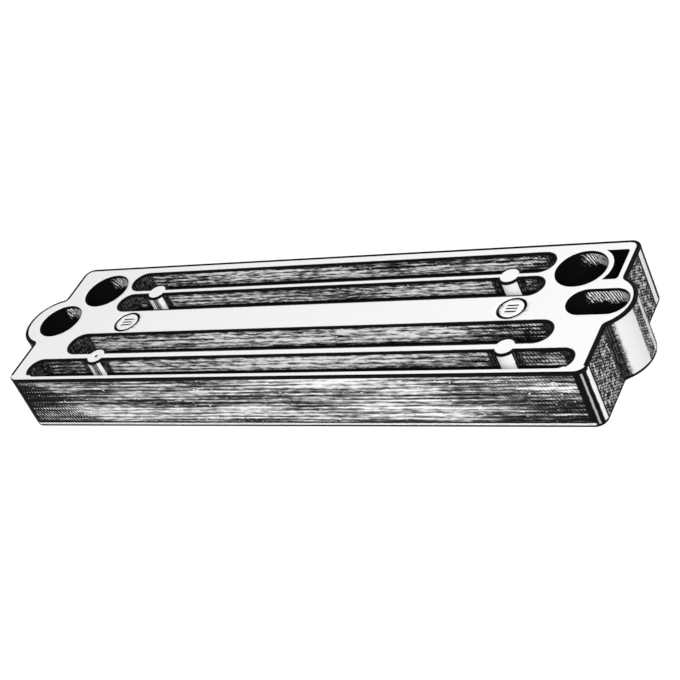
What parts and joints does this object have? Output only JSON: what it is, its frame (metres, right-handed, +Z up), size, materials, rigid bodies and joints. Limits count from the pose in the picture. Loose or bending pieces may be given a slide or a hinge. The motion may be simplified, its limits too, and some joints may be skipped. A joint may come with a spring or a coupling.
{
  "type": "sacrificial anode",
  "caption": "Cast bar anode with long slots through it, a large hole near each back corner, and a rounded lobe at each end with a bolt hole or bolt slot.",
  "frame": {"origin": "middle of the flat underside of the bar, halfway between its flat end faces and its long sides", "axes": "+X along the bar towards the end with the bolt slot, +Y across the bar towards the long side with the large holes, +Z up out of the marked face"},
  "size_m": [0.21, 0.054, 0.02],
  "materials": {
    "cast_zinc": "as cast, dull light grey, smoother on the top face"
  },
  "bodies": {
    "root": {"anode_casting": "cast_zinc"}
  },
  "joints": []
}
